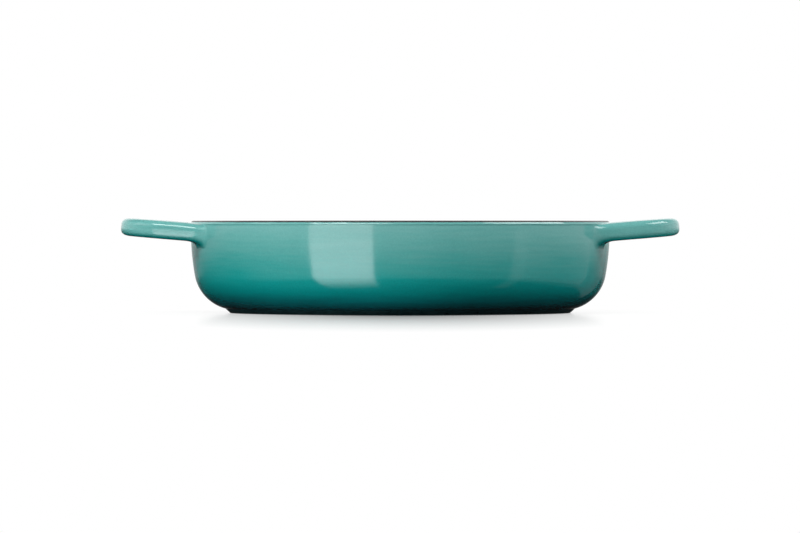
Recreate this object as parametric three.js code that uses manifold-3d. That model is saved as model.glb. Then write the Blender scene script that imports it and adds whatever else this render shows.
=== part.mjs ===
// A shallow enamelled cast-iron braiser with two loop handles, without a lid.
// Millimetres, +Z up, origin on the table under the middle of the base, handles along X.
// The pan is one iron casting, handles and all, with glassy enamel fused over it: a coloured coat
// outside, a satin black one inside, and dark ones on the rim and on the underside.
// Sizes are over the enamel. The iron lies one coat and one clearance deeper.

import * as THREE from 'three';
import { mergeVertices } from 'three/addons/utils/BufferGeometryUtils.js';
import Module from 'manifold-3d';

const { degToRad, lerp, smoothstep } = THREE.MathUtils;

// Bowl
const RIM_DIAMETER = 300;
const HEIGHT = 66;
const WALL_THICKNESS = 4.6;
const FLOOR_THICKNESS = 5.4;
const WALL_BOW_RADIUS = 190; // the wall bulges outwards on this arc
const WIDEST_BELOW_RIM = 6; // where that arc stands upright
const OUTER_CORNER_RADIUS = 30; // from the wall round to the foot
const INNER_CORNER_RADIUS = 27; // from the wall round to the cooking floor
const RIM_ROUND = 1.8;

// Foot
const FOOT_SETBACK = 28.3; // from the rim inwards to the edge that stands on the table
const FOOT_HEIGHT = 3.1;
const FOOT_FLARE = degToRad(48); // lean of the foot's side from upright
const FOOT_RING_WIDTH = 10;
const BASE_RECESS = 0.8; // the middle of the base stands clear of the table
const RECESS_SLOPE_WIDTH = 3;

// Loop handles
const HANDLE_REACH = 50; // past the rim
const HANDLE_SPAN = 106; // over both legs, level with the rim's outside
const HANDLE_DROP = 8; // from the rim's top down to the middle of a leg
const HANDLE_RISE = degToRad(4.6);
const LEG_TAPER = degToRad(12); // the legs close in towards the grip
const LEG_WIDTH = 15;
const LEG_DEPTH = 12.9;
const GRIP_WIDTH = 18;
const GRIP_DEPTH = 12.8;
const LOOP_CORNER_RADIUS = 29.5; // along the middle of the bar
const BAR_SQUARENESS = 3.2; // 2 is an ellipse, higher is squarer
const ROOT_SPREAD = 10; // how far a root's fillet runs along the wall to either side
const ROOT_DROP = 4.5; // and how far below the bar
const ROOT_TAIL = 2; // and how much further at the bar's lower corners, where it sweeps downwards
const ROOT_REACH = 20; // where the fillet starts on the bar's sides
const ROOT_LOWER_REACH = 12; // and under the bar
const ROOT_TOP_SHARE = 0.5; // this share of a root's half width, in the middle of its top, stays plain

// Coats
const ENAMEL = 0.4;
const CLEARANCE = 0.3; // between a coat and the iron, and between two coats
const RIM_BAND = 0.8; // how far the dark coat of the rim comes down the outside

// Facets
const TURN_STEPS = 60;
const CORNER_STEPS = 5;
const WALL_STEPS = 3;
const RIM_STEPS = 2;
const BAR_SIDES = 12;
const FILLET_STEPS = 3;
const LOOP_STEPS = 5;
const BISECTIONS = 40;
const WELD_DISTANCE = 0.001;

const IRON_INSET = ENAMEL + CLEARANCE;
const IRON_WALL = WALL_THICKNESS - 2 * IRON_INSET;
const RIM_RADIUS = RIM_DIAMETER / 2;
const FOOT_RADIUS = RIM_RADIUS - FOOT_SETBACK;
const FLOOR_TOP = BASE_RECESS + FLOOR_THICKNESS;
const BAND_EDGE = HEIGHT - RIM_BAND;
const COAT_EDGE = BAND_EDGE - CLEARANCE;
const FACET_SAG = RIM_RADIUS * (1 - Math.cos(Math.PI / TURN_STEPS));
const LANDING_DEPTH = 1.5 * FACET_SAG; // keeps a fillet's edge under the flat facets of the wall
const ROOT_TOP_DEPTH = IRON_WALL / 4; // how far a root's top runs on into the wall
const ROOT_END_DEPTH = IRON_WALL / 2; // where a handle's closed ends lie in the wall

const wasm = await Module();
wasm.setup();

// Plane geometry of the half-section: x is the distance from the axis and y the height.

const point = (x, y) => new THREE.Vector2(x, y);

const onCircle = (centre, radius, angle) =>
  point(centre.x + radius * Math.cos(angle), centre.y + radius * Math.sin(angle));

const arc = (centre, radius, from, to, steps) =>
  Array.from({ length: steps + 1 }, (_, k) => onCircle(centre, radius, lerp(from, to, k / steps)));

const angleTo = (centre, target) => Math.atan2(target.y - centre.y, target.x - centre.x);

const angleAtHeight = (centre, radius, height) =>
  Math.asin(Math.min(1, (height - centre.y) / radius));

// Where a line enters and leaves a circle, going along the line's unit direction.
function lineThroughCircle(start, direction, centre, radius) {
  const offset = start.clone().sub(centre);
  const along = offset.dot(direction);
  const reach = Math.sqrt(along ** 2 - offset.lengthSq() + radius ** 2);
  return {
    enter: start.clone().addScaledVector(direction, -along - reach),
    leave: start.clone().addScaledVector(direction, reach - along),
  };
}

// Centres of the section's arcs. Parallel faces, such as the two faces of a coat, share them.

const wallCentre = point(RIM_RADIUS - WALL_BOW_RADIUS, HEIGHT - WIDEST_BELOW_RIM);
const innerWallRadius = WALL_BOW_RADIUS - WALL_THICKNESS;

// The centre at a given height and at a given distance from the centre of the wall's arc.
function centreAtHeight(height, distance) {
  const rise = height - wallCentre.y;
  return point(wallCentre.x + Math.sqrt(distance ** 2 - rise ** 2), height);
}

// The centre of the outer corner's arc, which leaves the wall smoothly and ends on a given point.
function cornerCentreThrough(end) {
  const toEnd = end.clone().sub(wallCentre);
  const span = toEnd.length();
  const toCentre = WALL_BOW_RADIUS - OUTER_CORNER_RADIUS;
  const along = (toCentre ** 2 - OUTER_CORNER_RADIUS ** 2 + span ** 2) / (2 * span);
  const across = Math.sqrt(toCentre ** 2 - along ** 2);
  const unit = toEnd.divideScalar(span);
  const square = point(-unit.y, unit.x);
  return wallCentre.clone().addScaledVector(unit, along).addScaledVector(square, across);
}

const footSide = point(Math.sin(FOOT_FLARE), Math.cos(FOOT_FLARE));
const footTop = point(FOOT_RADIUS + FOOT_HEIGHT * Math.tan(FOOT_FLARE), FOOT_HEIGHT);
const outerCorner = cornerCentreThrough(footTop);
const innerCorner = centreAtHeight(
  FLOOR_TOP + INNER_CORNER_RADIUS,
  innerWallRadius - INNER_CORNER_RADIUS
);
const outerRim = centreAtHeight(HEIGHT - RIM_ROUND, WALL_BOW_RADIUS - RIM_ROUND);
const innerRim = centreAtHeight(HEIGHT - RIM_ROUND, innerWallRadius + RIM_ROUND);

// Stretches of the section's outline. Each is moved into the material by the inset.

// Underside: from the middle of the recess out to the edge of the foot ring.
function underside(inset) {
  const ringInner = FOOT_RADIUS - FOOT_RING_WIDTH;
  const ringOuter = FOOT_RADIUS - inset * Math.tan((Math.PI / 2 - FOOT_FLARE) / 2);
  return [
    point(0, BASE_RECESS + inset),
    point(ringInner - RECESS_SLOPE_WIDTH, BASE_RECESS + inset),
    point(ringInner, inset),
    point(ringOuter, inset),
  ];
}

// The line at the top of the foot's side, where the bowl's round corner starts.
function footEdge(inset) {
  const onSide = point(FOOT_RADIUS - inset * footSide.y, inset * footSide.x);
  return lineThroughCircle(onSide, footSide, outerCorner, OUTER_CORNER_RADIUS - inset).enter;
}

// Outside: from the foot's top line up to a height on the rim's outer round.
function outside(inset, topHeight) {
  const cornerStart = angleTo(outerCorner, footEdge(inset));
  const wallStart = angleTo(wallCentre, outerCorner);
  const wallEnd = angleTo(wallCentre, outerRim);
  const rimEnd = angleAtHeight(outerRim, RIM_ROUND - inset, topHeight);
  return [
    ...arc(outerCorner, OUTER_CORNER_RADIUS - inset, cornerStart, wallStart, CORNER_STEPS),
    ...arc(wallCentre, WALL_BOW_RADIUS - inset, wallStart, wallEnd, WALL_STEPS).slice(1),
    ...arc(outerRim, RIM_ROUND - inset, wallEnd, rimEnd, RIM_STEPS).slice(1),
  ];
}

// Over the rim: from a height on its outer round across to the same height on its inner round.
function overRim(inset, edgeHeight) {
  const outerStart = angleAtHeight(outerRim, RIM_ROUND - inset, edgeHeight);
  const innerEnd = Math.PI - angleAtHeight(innerRim, RIM_ROUND - inset, edgeHeight);
  return [
    ...arc(outerRim, RIM_ROUND - inset, outerStart, Math.PI / 2, RIM_STEPS),
    ...arc(innerRim, RIM_ROUND - inset, Math.PI / 2, innerEnd, RIM_STEPS),
  ];
}

// Inside: from a height on the rim's inner round down to the middle of the cooking floor.
function inside(inset, topHeight) {
  const rimStart = Math.PI - angleAtHeight(innerRim, RIM_ROUND - inset, topHeight);
  const wallStart = angleTo(wallCentre, innerRim);
  const wallEnd = angleTo(wallCentre, innerCorner);
  return [
    ...arc(innerRim, RIM_ROUND - inset, rimStart, Math.PI + wallStart, RIM_STEPS),
    ...arc(wallCentre, innerWallRadius + inset, wallStart, wallEnd, WALL_STEPS).slice(1),
    ...arc(innerCorner, INNER_CORNER_RADIUS + inset, wallEnd, -Math.PI / 2, CORNER_STEPS).slice(1),
    point(0, FLOOR_TOP - inset),
  ];
}

// Solids

function solid(geometry) {
  const bare = new THREE.BufferGeometry();
  bare.setAttribute('position', geometry.getAttribute('position'));
  bare.setIndex(geometry.index);
  const merged = mergeVertices(bare, WELD_DISTANCE);
  return new wasm.Manifold(
    new wasm.Mesh({
      numProp: 3,
      vertProperties: merged.getAttribute('position').array,
      triVerts: new Uint32Array(merged.index.array),
    })
  );
}

// A profile turned about the pan's axis. A ring's profile is closed on itself first.
const turned = (profile) => solid(new THREE.LatheGeometry(profile, TURN_STEPS).rotateX(Math.PI / 2));

const turnedRing = (profile) => turned([...profile, profile[0].clone()]);

// Rings of points joined into one closed surface, each end shut by a fan round a middle point.
function lofted(rings, startMiddle, endMiddle) {
  const sides = rings[0].length;
  const corners = [...rings.flat(), startMiddle, endMiddle];
  const startIndex = corners.length - 2;
  const endIndex = corners.length - 1;
  const lastRing = (rings.length - 1) * sides;
  const faces = [];
  for (let side = 0; side < sides; side += 1) {
    const next = (side + 1) % sides;
    faces.push(startIndex, next, side);
    faces.push(endIndex, lastRing + side, lastRing + next);
    for (let ring = 0; ring < lastRing; ring += sides) {
      faces.push(ring + side, ring + next, ring + sides + side);
      faces.push(ring + next, ring + sides + next, ring + sides + side);
    }
  }
  return new THREE.BufferGeometry().setFromPoints(corners).setIndex(faces);
}

// Handle at +X. Its middle plane leans upwards about the line where it meets the rim's outside:
// x runs outwards from the pan's axis and y along the rim in that plane, and up is square to it.

function fromHandlePlane(place, up) {
  const out = place.x - RIM_RADIUS;
  return new THREE.Vector3(
    RIM_RADIUS + out * Math.cos(HANDLE_RISE) - up * Math.sin(HANDLE_RISE),
    place.y,
    HEIGHT - HANDLE_DROP + out * Math.sin(HANDLE_RISE) + up * Math.cos(HANDLE_RISE)
  );
}

const panAxis = point(0, 0);
const gripRadius = RIM_RADIUS + HANDLE_REACH - GRIP_WIDTH / 2;
const legMiddle = point(RIM_RADIUS, (HANDLE_SPAN - LEG_WIDTH) / 2);
const legRun = point(Math.cos(LEG_TAPER), -Math.sin(LEG_TAPER));
const legOutward = point(Math.sin(LEG_TAPER), Math.cos(LEG_TAPER));
const legAxis = fromHandlePlane(legMiddle.clone().add(legRun), 0).sub(fromHandlePlane(legMiddle, 0));
const loopCorner = lineThroughCircle(
  legMiddle.clone().addScaledVector(legOutward, -LOOP_CORNER_RADIUS),
  legRun,
  panAxis,
  gripRadius - LOOP_CORNER_RADIUS
).leave;

const barAngles = Array.from({ length: BAR_SIDES }, (_, side) => (2 * Math.PI * side) / BAR_SIDES);

// A point of the bar's rounded oblong section: x points out of the loop and y up.
function barPoint(angle, width, depth, inset) {
  const bulge = (value) => Math.sign(value) * Math.abs(value) ** (2 / BAR_SQUARENESS);
  const outwards = (width / 2 - inset) * bulge(Math.cos(angle));
  const upwards = (depth / 2 - inset) * bulge(Math.sin(angle));
  return point(outwards, upwards);
}

// One ring of the bar round a place on its middle line, where the loop faces a given angle.
function barRing(middle, facing, gripShare, inset) {
  const width = lerp(LEG_WIDTH, GRIP_WIDTH, gripShare);
  const depth = lerp(LEG_DEPTH, GRIP_DEPTH, gripShare);
  return barAngles.map((angle) => {
    const offset = barPoint(angle, width, depth, inset);
    return fromHandlePlane(onCircle(middle, offset.x, facing), offset.y);
  });
}

const outsideRadius = (height, inset) =>
  wallCentre.x + Math.sqrt((WALL_BOW_RADIUS - inset) ** 2 - (height - wallCentre.y) ** 2);

// Where a line along the leg comes out of the wall, found by halving.
function leavesWall(start, inset) {
  let buried = -RIM_RADIUS;
  let clear = RIM_RADIUS;
  for (let step = 0; step < BISECTIONS; step += 1) {
    const middle = (buried + clear) / 2;
    const place = start.clone().addScaledVector(legAxis, middle);
    if (Math.hypot(place.x, place.y) < outsideRadius(place.z, inset)) buried = middle;
    else clear = middle;
  }
  return start.clone().addScaledVector(legAxis, buried);
}

function wallNormal(place) {
  const radius = Math.hypot(place.x, place.y);
  const outward = radius - wallCentre.x;
  return new THREE.Vector3(
    (place.x / radius) * outward,
    (place.y / radius) * outward,
    place.z - wallCentre.y
  ).normalize();
}

// The place moved towards the pan's axis until it is at least so deep under the wall's outside.
function sunk(place, depth, inset) {
  const radius = Math.hypot(place.x, place.y);
  const shrink = Math.min(1, (outsideRadius(place.z, inset) - depth) / radius);
  return new THREE.Vector3(place.x * shrink, place.y * shrink, place.z);
}

// One side of the leg's root, from inside the wall out to the plain leg. A fillet spreads over the
// wall sideways and below. Nothing spreads upwards: the top runs flat into the wall under the rim.
function rootSide(angle, inset) {
  const offset = barPoint(angle, LEG_WIDTH, LEG_DEPTH, inset);
  const start = fromHandlePlane(legMiddle.clone().addScaledVector(legOutward, offset.x), offset.y);
  const corner = leavesWall(start, inset);
  const sideways = Math.cos(angle);
  const below = Math.max(0, -Math.sin(angle));
  const share = smoothstep(Math.hypot(sideways, below), 0, ROOT_TOP_SHARE);
  const aside = legOutward.clone().multiplyScalar((ROOT_SPREAD + inset) * sideways);
  const drop = (ROOT_DROP + inset + ROOT_TAIL * 2 * Math.abs(sideways)) * below;
  const spread = fromHandlePlane(aside, -drop).sub(fromHandlePlane(panAxis, 0));
  spread.projectOnPlane(wallNormal(corner));
  const reach = lerp(ROOT_LOWER_REACH, ROOT_REACH, sideways ** 2) + inset;
  const onLeg = corner.clone().addScaledVector(legAxis, lerp(ROOT_TOP_DEPTH, reach, share));
  const landing = corner.clone().addScaledVector(spread, share);
  landing.addScaledVector(legAxis, -ROOT_TOP_DEPTH * (1 - share));
  const onWall = sunk(landing, LANDING_DEPTH, inset);
  const bend = new THREE.QuadraticBezierCurve3(onWall, corner, onLeg);
  return [sunk(onWall, ROOT_END_DEPTH, inset), ...bend.getPoints(FILLET_STEPS)];
}

// The whole handle as one closed surface, with both roots ending inside the wall.
function handle(inset) {
  const sides = barAngles.map((angle) => rootSide(angle, inset));
  const rootRings = sides[0].map((_, ring) => sides.map((side) => side[ring]));
  const legFacing = legOutward.angle();
  const gripFacing = loopCorner.angle();
  const bendRings = Array.from({ length: LOOP_STEPS + 1 }, (_, k) => {
    const facing = lerp(legFacing, gripFacing, k / LOOP_STEPS);
    const gripShare = smoothstep(k, 0, LOOP_STEPS);
    return barRing(onCircle(loopCorner, LOOP_CORNER_RADIUS, facing), facing, gripShare, inset);
  });
  const gripRing = barRing(onCircle(panAxis, gripRadius, 0), 0, 1, inset);
  const half = [...rootRings, ...bendRings];
  const mirrored = (place) => new THREE.Vector3(place.x, -place.y, place.z);
  const otherHalf = half.map((ring) => ring.map(mirrored)).reverse();
  const rootMiddle = half[0].reduce((sum, place) => sum.add(place), new THREE.Vector3());
  const rootEnd = sunk(rootMiddle.divideScalar(BAR_SIDES), ROOT_END_DEPTH, inset);
  return lofted([...half, gripRing, ...otherHalf], rootEnd, mirrored(rootEnd));
}

// Both handles are alike: the second is the first turned half round the pan's axis.
function bothHandles(inset) {
  const one = handle(inset);
  const other = one.clone().rotateZ(Math.PI);
  return solid(one).add(solid(other));
}

// The pieces

function ironCasting() {
  const top = HEIGHT - IRON_INSET;
  const hollow = inside(IRON_INSET, top);
  const bowl = turned([...underside(IRON_INSET), ...outside(IRON_INSET, top), ...hollow]);
  const bowlHollow = turned([...hollow.toReversed(), point(0, top)]);
  return bowl.add(bothHandles(IRON_INSET).subtract(bowlHollow));
}

// The coloured coat runs without a break from the wall over both handles.
function exteriorEnamel() {
  const underCoat = outside(ENAMEL, COAT_EDGE);
  const wallCoat = turnedRing([...outside(0, COAT_EDGE), ...underCoat.toReversed()]);
  const bowlInside = turned([point(0, underCoat[0].y), ...underCoat, point(0, COAT_EDGE)]);
  const rimRoom = turnedRing([
    point(RIM_RADIUS - WALL_THICKNESS, COAT_EDGE),
    point(RIM_RADIUS + CLEARANCE, COAT_EDGE),
    point(RIM_RADIUS + CLEARANCE, HEIGHT + CLEARANCE),
    point(RIM_RADIUS - WALL_THICKNESS, HEIGHT + CLEARANCE),
  ]);
  const handlesInside = bothHandles(ENAMEL);
  return wallCoat.add(bothHandles(0)).subtract(bowlInside).subtract(handlesInside).subtract(rimRoom);
}

function interiorEnamel() {
  const underCoat = inside(ENAMEL, COAT_EDGE).reverse();
  return turned([...underCoat, ...inside(0, COAT_EDGE)]);
}

function rimEnamel() {
  const underCoat = overRim(ENAMEL, BAND_EDGE).reverse();
  return turnedRing([...overRim(0, BAND_EDGE), ...underCoat]);
}

// The dark coat of the underside stops just short of the coloured one, at the top of the foot.
function baseEnamel() {
  const sideEnd = (inset) => footEdge(inset).addScaledVector(footSide, -CLEARANCE);
  return turned([...underside(0), sideEnd(0), sideEnd(ENAMEL), ...underside(ENAMEL).reverse()]);
}

function piece(name, body, colour, roughness, metalness) {
  const made = body.getMesh();
  const geometry = new THREE.BufferGeometry();
  geometry.setAttribute('position', new THREE.BufferAttribute(made.vertProperties, made.numProp));
  geometry.setIndex(new THREE.BufferAttribute(made.triVerts, 1));
  geometry.computeVertexNormals();
  const material = new THREE.MeshStandardMaterial({ color: colour, roughness, metalness });
  const mesh = new THREE.Mesh(geometry, material);
  mesh.name = name;
  return mesh;
}

const braiser = new THREE.Group();
braiser.add(
  piece('iron_casting', ironCasting(), '#4a4b4d', 0.75, 1),
  piece('exterior_enamel', exteriorEnamel(), '#3d9a96', 0.12, 0),
  piece('interior_enamel', interiorEnamel(), '#1d1e20', 0.45, 0),
  piece('rim_enamel', rimEnamel(), '#2b2f31', 0.5, 0),
  piece('base_enamel', baseEnamel(), '#12292d', 0.35, 0)
);

export default braiser;
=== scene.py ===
# %% [markdown]
# # An enamelled cast-iron braiser
#
# A shallow pan is nearly all surface. One bowed wall turns over a lip into the cooking space, and a
# loop handle grows out of it on either side. The frame that is loaded first is coarse, because the
# checks use it. Modifiers could smooth it, but facets would still show in a gloss wall. So this lesson
# lays smooth coats of enamel over it: every coat is a formula on a grid of points, and every finish is
# a few nodes.

# %% Load the frame
import math

import bpy
import numpy as np
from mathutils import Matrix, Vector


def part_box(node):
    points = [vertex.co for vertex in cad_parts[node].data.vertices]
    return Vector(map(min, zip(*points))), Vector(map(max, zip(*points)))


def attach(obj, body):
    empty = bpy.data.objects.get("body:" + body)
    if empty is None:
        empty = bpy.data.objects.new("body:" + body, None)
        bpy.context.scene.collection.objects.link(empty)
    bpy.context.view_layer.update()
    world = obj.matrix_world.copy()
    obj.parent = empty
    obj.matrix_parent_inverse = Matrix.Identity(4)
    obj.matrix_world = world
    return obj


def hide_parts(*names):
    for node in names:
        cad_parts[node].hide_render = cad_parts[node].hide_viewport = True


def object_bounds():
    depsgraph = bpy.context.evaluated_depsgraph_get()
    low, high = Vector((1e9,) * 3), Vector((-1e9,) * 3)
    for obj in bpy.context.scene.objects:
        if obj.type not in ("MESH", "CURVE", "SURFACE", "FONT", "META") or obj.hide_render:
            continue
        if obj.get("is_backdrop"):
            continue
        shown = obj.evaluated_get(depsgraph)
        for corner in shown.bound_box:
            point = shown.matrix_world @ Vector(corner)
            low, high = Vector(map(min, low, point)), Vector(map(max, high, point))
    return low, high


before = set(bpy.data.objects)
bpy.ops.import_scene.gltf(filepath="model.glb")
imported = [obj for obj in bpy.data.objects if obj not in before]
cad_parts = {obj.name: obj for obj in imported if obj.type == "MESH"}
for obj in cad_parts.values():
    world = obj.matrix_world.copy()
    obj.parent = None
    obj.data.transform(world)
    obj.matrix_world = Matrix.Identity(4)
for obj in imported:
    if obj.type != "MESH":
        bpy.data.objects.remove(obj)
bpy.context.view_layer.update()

MM = 0.001  # The frame is in metres.

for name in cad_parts:
    low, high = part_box(name)
    size_mm = [round((b - a) / MM, 1) for a, b in zip(low, high)]
    print(name, "measures", size_mm, "mm")

# %% [markdown]
# ## From a grid of points to a mesh
#
# A turned coat and a bent bar are alike: both are rows of points that close on themselves. Blender
# could spin a profile or bevel a curve to make them. Here the points are worked out as one array,
# because a formula can then move each of them. The rows may close too, as on a ring, or end in two
# poles, as on a bar with closed ends. One function makes every mesh, so that no seam stays open, and it
# prints the volume: a positive number proves that the faces look outwards.

# %% Mesh tools
SHARP_ANGLE = math.radians(35)
CUBIC_CM = 1e-6


def grid_faces(rows, columns, rows_close):
    """Quads of a grid: each joins a point, its neighbour in the row and the two under them."""
    row = np.arange(rows if rows_close else rows - 1)[:, None]
    column = np.arange(columns)[None, :]
    below = (row + 1) % rows
    beside = (column + 1) % columns
    corners = (
        row * columns + column,
        row * columns + beside,
        below * columns + beside,
        below * columns + column,
    )
    return np.stack(np.broadcast_arrays(*corners), axis=-1).reshape(-1, 4)


def pole_faces(columns, first_of_row, pole, flip):
    """Triangles from one row of the grid to a single point, turned over where flip is set."""
    here = first_of_row + np.arange(columns)
    beside = first_of_row + (np.arange(columns) + 1) % columns
    pair = (beside, here) if flip else (here, beside)
    return np.stack((*pair, np.full(columns, pole)), axis=-1)


def volume(points, faces):
    """A sixth of the sum, over the triangles, of one corner times the cross product of the others."""
    fans = [face[:, [0, k, k + 1]] for face in faces for k in range(1, face.shape[1] - 1)]
    a, b, c = np.moveaxis(points[np.concatenate(fans)], 1, 0)
    return float(np.sum(a * np.cross(b, c))) / 6


def add_piece(name, grid, poles, slot, *nodes):
    """A smooth mesh on a grid of points, closed in rows unless two poles are given."""
    rows, columns, _ = grid.shape
    points = grid.reshape(-1, 3)
    faces = [grid_faces(rows, columns, poles is None)]
    if poles is not None:
        last_row = (rows - 1) * columns
        faces.append(pole_faces(columns, 0, len(points), True))
        faces.append(pole_faces(columns, last_row, len(points) + 1, False))
        points = np.concatenate((points, poles))
    mesh = bpy.data.meshes.new(name)
    mesh.from_pydata(points.tolist(), [], [face for part in faces for face in part.tolist()])
    mesh.polygons.foreach_set("use_smooth", np.ones(len(mesh.polygons), dtype=bool))
    mesh.set_sharp_from_angle(angle=SHARP_ANGLE)
    piece = bpy.data.objects.new(name, mesh)
    bpy.context.scene.collection.objects.link(piece)
    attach(piece, "root")
    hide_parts(*nodes)
    print(name, len(mesh.polygons), "faces,", round(volume(points, faces) / CUBIC_CM, 2), "cubic cm")
    return piece


print("a ring of 3 rows and 4 columns has", len(grid_faces(3, 4, True)), "faces")

# %% [markdown]
# ## The half-section
#
# A foundry turns the pattern for such a bowl from a half-section. It is a chain of arcs that run
# smoothly into each other: a corner over the foot, a wall that bows out a little, a rounded rim, and
# the same again inside. It could be a Bezier curve drawn by eye. Arcs were chosen because the two faces
# of a coat can share their centres and differ in radius, so that the coat is equally thick everywhere.
# The height comes from the frame. The other sizes are the pan's own, in metres.

# %% Arcs of the section
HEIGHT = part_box("rim_enamel")[1][2]
RIM_RADIUS = 0.150
WALL_BOW_RADIUS = 0.190
WIDEST_BELOW_RIM = 0.006
wall_centre = RIM_RADIUS - WALL_BOW_RADIUS, HEIGHT - WIDEST_BELOW_RIM


def arc(centre, radius, start, end, count):
    """Points on a circle: the centre plus the radius times the cosine and sine of even angles."""
    angle = np.linspace(start, end, count)
    return np.stack((centre[0] + radius * np.cos(angle), centre[1] + radius * np.sin(angle)), axis=-1)


def angle_to(centre, target):
    """The direction of a target as seen from a centre."""
    return math.atan2(target[1] - centre[1], target[0] - centre[0])


def centre_at_height(height, distance):
    """The point at a height and at a distance from the centre of the wall's arc, by Pythagoras."""
    return wall_centre[0] + math.sqrt(distance**2 - (height - wall_centre[1]) ** 2), height


print("the wall bows about a point at", [round(v / MM, 2) for v in wall_centre], "mm")

# %% Centres of the arcs
WALL = 0.0046
FLOOR_TOP = 0.0062
OUTER_CORNER_RADIUS = 0.030
INNER_CORNER_RADIUS = 0.027
RIM_ROUND = 0.0018
FOOT_RADIUS = 0.1217
FOOT_HEIGHT = 0.0031
FOOT_FLARE = math.radians(48)
inner_wall_radius = WALL_BOW_RADIUS - WALL
rim_level = HEIGHT - RIM_ROUND
corner_level = FLOOR_TOP + INNER_CORNER_RADIUS
foot_top = FOOT_RADIUS + FOOT_HEIGHT * math.tan(FOOT_FLARE), FOOT_HEIGHT
outer_rim = centre_at_height(rim_level, WALL_BOW_RADIUS - RIM_ROUND)
inner_rim = centre_at_height(rim_level, inner_wall_radius + RIM_ROUND)
inner_corner = centre_at_height(corner_level, inner_wall_radius - INNER_CORNER_RADIUS)

# The outer corner's arc leaves the wall smoothly and ends on the foot, so its centre is where two
# circles meet: one about the wall's centre and one about the top of the foot.
span = math.dist(wall_centre, foot_top)
reach = WALL_BOW_RADIUS - OUTER_CORNER_RADIUS
along = (reach**2 - OUTER_CORNER_RADIUS**2 + span**2) / (2 * span)
across = math.sqrt(reach**2 - along**2)
unit_x = (foot_top[0] - wall_centre[0]) / span
unit_y = (foot_top[1] - wall_centre[1]) / span
outer_corner = (
    wall_centre[0] + unit_x * along - unit_y * across,
    wall_centre[1] + unit_y * along + unit_x * across,
)
print("the outer corner turns about", [round(v / MM, 2) for v in outer_corner], "mm")

# %% [markdown]
# ## Turning a profile
#
# A real pan isn't perfectly round. Sand moulds shift, and enamel runs a little before it fuses, so the
# reflections in a gloss wall wobble. A Screw modifier turns a profile without such faults, and a
# displacement texture would have to add them later. The turning function takes them along as a swell:
# an offset in metres for each point of the grid, added square to the profile.

# %% Turning tools
TURN_STEPS = 360
WAVES = 12
FEWEST_ROUND = 2
MOST_ALONG = 3
TINY = 1e-12
turn = np.linspace(0, 2 * math.pi, TURN_STEPS, endpoint=False)


def turned(profile, swell=0.0):
    """Each profile point (r, z) moved by the swell along its normal, then to (r cos t, r sin t, z)."""
    slope = np.gradient(profile, axis=0)
    slope /= np.maximum(np.linalg.norm(slope, axis=1, keepdims=True), TINY)
    radius = profile[:, None, 0] + swell * slope[:, None, 1]
    height = profile[:, None, 1] - swell * slope[:, None, 0]
    return np.stack(np.broadcast_arrays(radius * np.cos(turn), radius * np.sin(turn), height), axis=-1)


def ripple(rows, most_round, seed):
    """Unevenness between -1 and 1: the mean of sine waves that run round and along the profile."""
    random = np.random.default_rng(seed)
    round_waves = random.integers(FEWEST_ROUND, most_round, WAVES)[:, None, None]
    long_waves = random.uniform(-MOST_ALONG, MOST_ALONG, WAVES)[:, None, None]
    phase = random.uniform(0, 2 * math.pi, WAVES)[:, None, None]
    share = np.linspace(0, 1, rows)[:, None]
    return np.sin(round_waves * turn + 2 * math.pi * long_waves * share + phase).mean(axis=0)


print("points of a turned row are", round(2 * math.pi * RIM_RADIUS / TURN_STEPS / MM, 2), "mm apart")

# %% [markdown]
# ## The coloured wall
#
# The teal coat is sprayed over the dark ground coat and stops just under the rim, where its edge is
# never quite straight. While the glass melts, it also draws together into a low bead under that edge,
# and the bead catches the lamps as a bright line. A bump map could hint at both, but it leaves outlines
# alone and can't gather light into a line. So they are in the points: the edge wanders by a tenth of a
# millimetre, the face swells by half of that, and the bead is a bell curve over the height.

# %% Profile of the wall
CORNER_STEPS = 48
WALL_STEPS = 36
LIP_STEPS = 30
ROUND_STEPS = 8


def outside(inset, top):
    """Corner arc from the foot, then the wall's arc, then the rim's round up to a height."""
    start = angle_to(outer_corner, foot_top)
    middle = angle_to(wall_centre, outer_corner)
    end = angle_to(wall_centre, outer_rim)
    stop = math.asin((top - outer_rim[1]) / (RIM_ROUND - inset))
    corner = arc(outer_corner, OUTER_CORNER_RADIUS - inset, start, middle, CORNER_STEPS)
    wall = arc(wall_centre, WALL_BOW_RADIUS - inset, middle, 0, WALL_STEPS)
    lip = arc(wall_centre, WALL_BOW_RADIUS - inset, 0, end, LIP_STEPS)
    rim = arc(outer_rim, RIM_ROUND - inset, end, stop, ROUND_STEPS)
    return np.concatenate((corner, wall[1:], lip[1:], rim[1:]))


COAT_EDGE = HEIGHT - 0.00095
outer_face = outside(0, COAT_EDGE)
rows = len(outer_face)
print("the wall's profile has", rows, "points")

# %% Outer wall
ENAMEL = 0.0004
EDGE_WANDER = 0.00012
EDGE_WAVES, EDGE_SEED = 60, 5
EDGE_PART = 8
WALL_SWELL = 0.00005
WALL_WAVES, WALL_SEED = 14, 3
BEAD_PLACE = HEIGHT - 0.0022
BEAD_WIDTH = 0.00063
BEAD_HEIGHT = 0.00034

# The bead's bell curve: its height times e to the power of minus the squared distance in widths.
bead = BEAD_HEIGHT * np.exp(-(((outer_face[:, 1] - BEAD_PLACE) / BEAD_WIDTH) ** 2))[:, None]
fade = np.sin(np.linspace(0, math.pi, rows))[:, None]
swell = WALL_SWELL * fade * ripple(rows, WALL_WAVES, WALL_SEED) + bead
wall_front = turned(outer_face, swell)

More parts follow.
